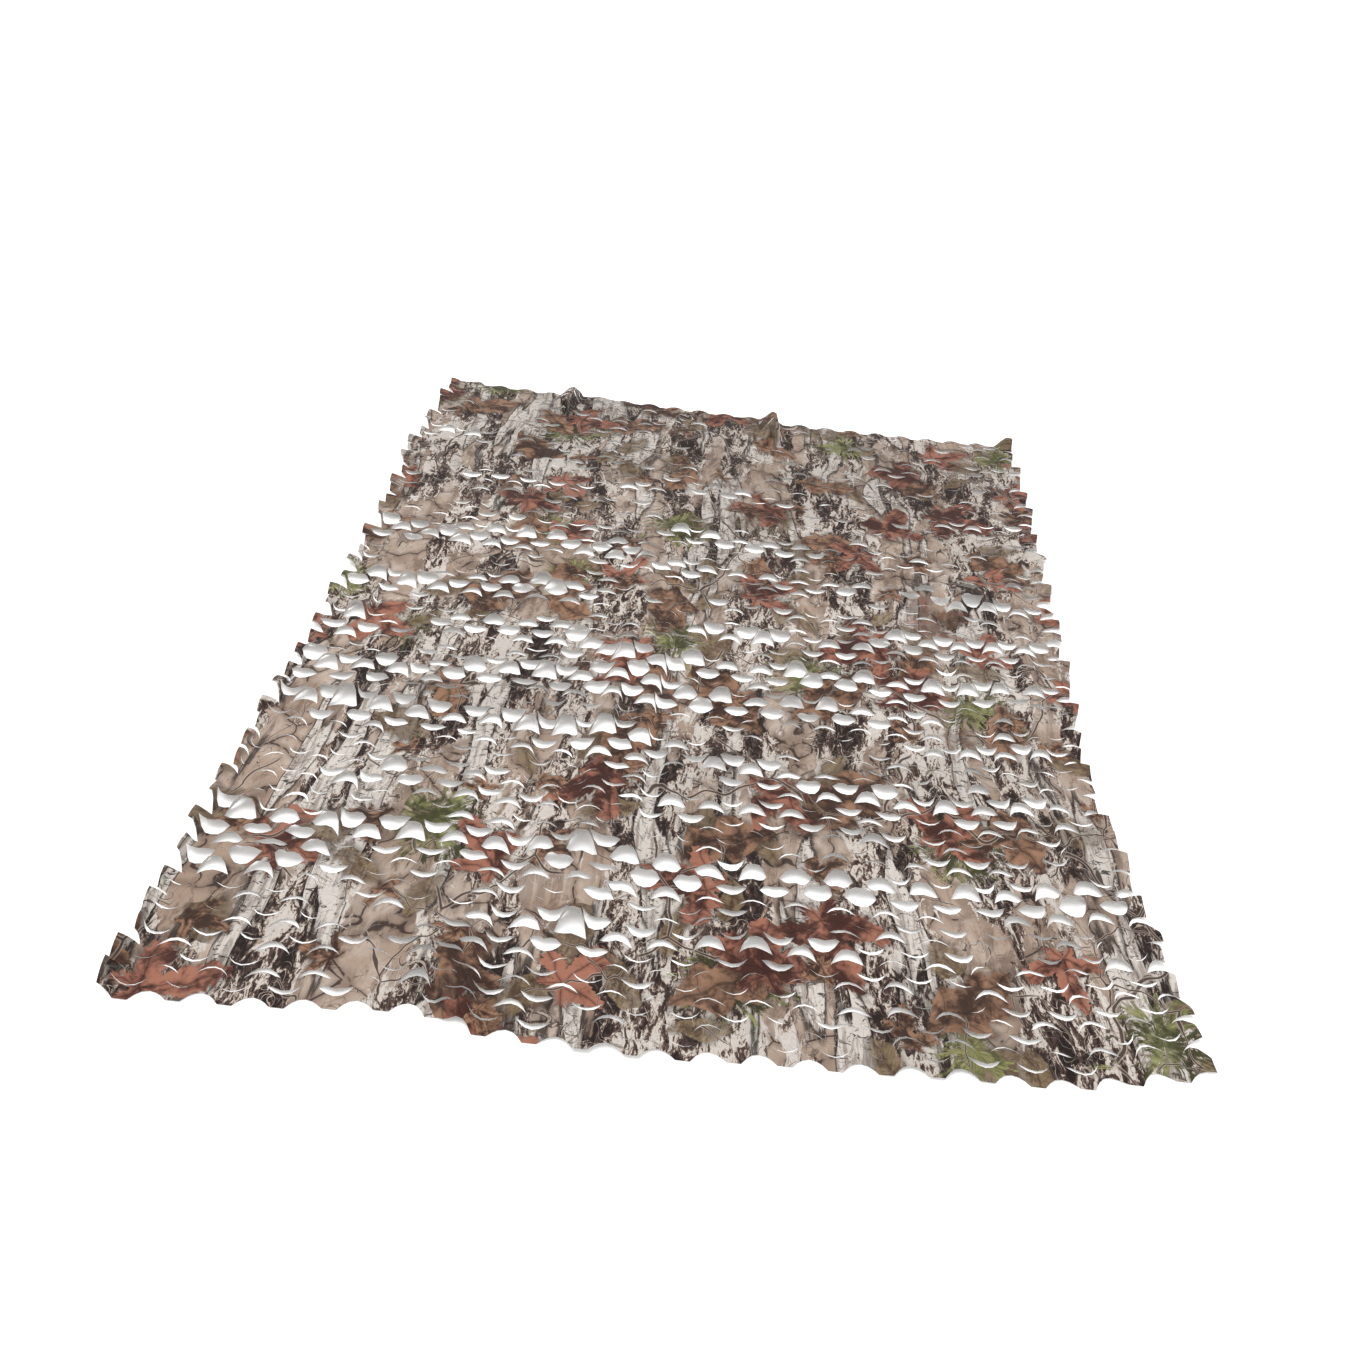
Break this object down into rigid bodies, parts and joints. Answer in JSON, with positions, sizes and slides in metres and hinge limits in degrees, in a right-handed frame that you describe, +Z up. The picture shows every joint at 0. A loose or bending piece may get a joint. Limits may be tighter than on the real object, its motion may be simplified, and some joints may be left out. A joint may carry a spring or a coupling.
{
  "type": "camouflage net",
  "caption": "Die-cut camouflage net: one printed cloth sheet with rows of short curved slits pulled open, scalloped edges, lying on the ground with low folds.",
  "frame": {"origin": "bottom centre of the net's box, on the surface it lies on", "axes": "+X to the net's right, +Y along its length from the front edge to the back edge, +Z up"},
  "size_m": [1.5452, 2.0661, 0.0475],
  "materials": {
    "printed_cloth": "thin woven polyester, printed in beige, bark brown, russet, olive and off-white"
  },
  "bodies": {
    "root": {"net": "printed_cloth"}
  },
  "joints": []
}
